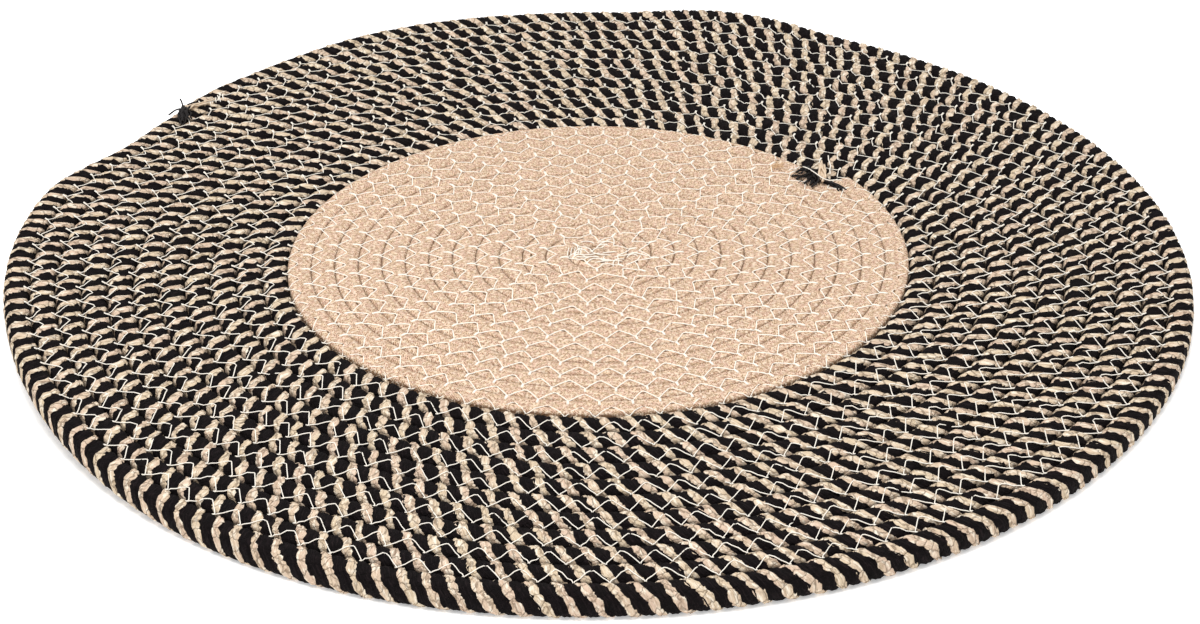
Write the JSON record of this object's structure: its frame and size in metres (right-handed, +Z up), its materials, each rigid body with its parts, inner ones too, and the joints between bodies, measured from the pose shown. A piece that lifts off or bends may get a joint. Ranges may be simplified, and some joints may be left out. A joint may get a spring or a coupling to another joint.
{
  "type": "round jute rug",
  "caption": "Flat round floor rug, a plain spiral cord disc inside a broad spiral border of two-tone twisted rope, sewn turn to turn.",
  "frame": {"origin": "under the middle of the rug's outline, on the floor", "axes": "+Z up out of the face that shows, -Y towards the picture's viewer, +X to the viewer's right"},
  "size_m": [0.5762, 0.5994, 0.022],
  "materials": {
    "natural_cord": "matte knitted natural jute and cotton cord",
    "two_tone_rope": "matte laid rope of black and natural jute strands",
    "sewing_thread": "matte cream cotton thread"
  },
  "bodies": {
    "root": {"centre_coil": "natural_cord", "border_coil": "two_tone_rope"}
  },
  "joints": []
}
